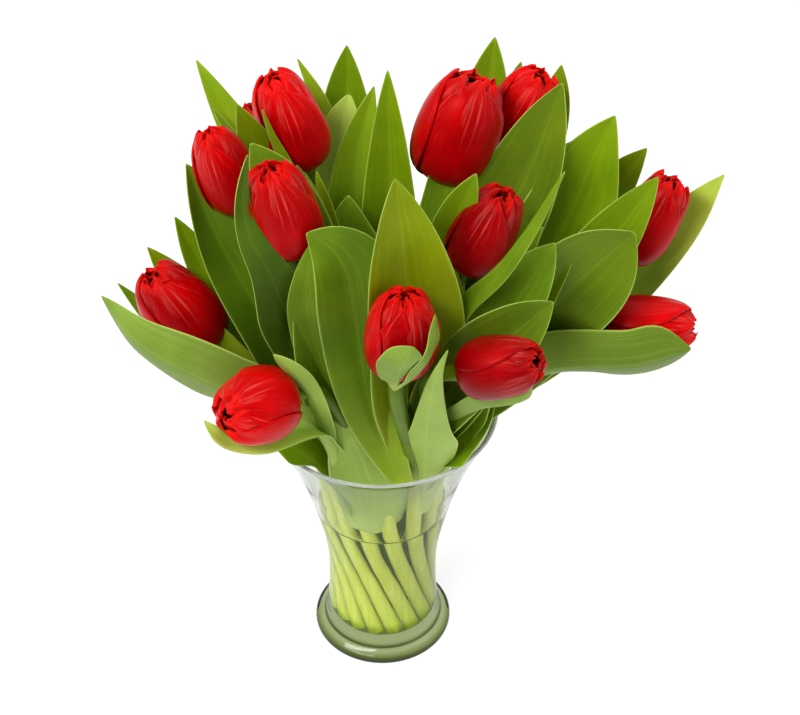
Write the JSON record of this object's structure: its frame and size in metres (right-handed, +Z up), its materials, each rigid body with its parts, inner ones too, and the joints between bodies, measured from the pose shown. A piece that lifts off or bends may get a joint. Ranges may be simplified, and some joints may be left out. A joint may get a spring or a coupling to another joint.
{
  "type": "vase of cut tulips",
  "caption": "Bunch of red tulips with broad green leaves, standing in water in a clear glass vase with a waist, a flared rim and a thick round foot.",
  "frame": {"origin": "middle of the underside of the vase's foot, on the surface that it stands on", "axes": "+Z up the vase's axis, +X to the right and -Y to the front as the arrangement is seen"},
  "size_m": [0.368, 0.2862, 0.4252],
  "materials": {
    "glass": "clear polished glass with a faint green tint where it is thick",
    "water": "clear water",
    "stem": "smooth pale green stem",
    "petal": "satin red petals with fine veins",
    "leaf": "waxy green leaf with fine veins along it"
  },
  "bodies": {
    "root": {"vase": "glass", "water": "water", "stem_right_high": "stem", "stem_back_tall": "stem", "stem_back_right": "stem", "stem_rear_right": "stem", "stem_rear_left": "stem", "stem_back_left": "stem", "stem_top_left": "stem", "stem_left_high": "stem", "stem_left_low": "stem", "stem_left_middle": "stem", "stem_front_left": "stem", "stem_front_middle": "stem", "stem_front_right": "stem", "stem_middle_right": "stem", "stem_right_low": "stem", "tulip_right_high": "petal", "tulip_back_tall": "petal", "tulip_back_right": "petal", "tulip_rear_right": "petal", "tulip_rear_left": "petal", "tulip_back_left": "petal", "tulip_top_left": "petal", "tulip_left_high": "petal", "tulip_left_low": "petal", "tulip_left_middle": "petal", "tulip_front_left": "petal", "tulip_front_middle": "petal", "tulip_front_right": "petal", "tulip_middle_right": "petal", "tulip_right_low": "petal", "leaf_low_left_outer": "leaf", "leaf_behind_left_low": "leaf", "leaf_left_broad": "leaf", "leaf_left_middle": "leaf", "leaf_back_left_tall": "leaf", "leaf_back_middle": "leaf", "leaf_middle_back_left": "leaf", "leaf_middle_back": "leaf", "leaf_front_folded": "leaf", "leaf_front_centre": "leaf", "leaf_middle_inner": "leaf", "leaf_right_tall": "leaf", "leaf_back_right_tall": "leaf", "leaf_right_broad": "leaf", "leaf_right_bud": "leaf", "leaf_far_right": "leaf", "leaf_right_front_broad": "leaf", "leaf_right_blue": "leaf", "leaf_front_right_high": "leaf", "leaf_front_right_cup": "leaf", "leaf_low_right_outer": "leaf", "leaf_front_pale": "leaf", "leaf_rim_front": "leaf", "leaf_front_left_cup": "leaf", "leaf_rear_middle": "leaf", "leaf_rear_left": "leaf", "leaf_rear_right": "leaf", "leaf_rear_low": "leaf"}
  },
  "joints": []
}
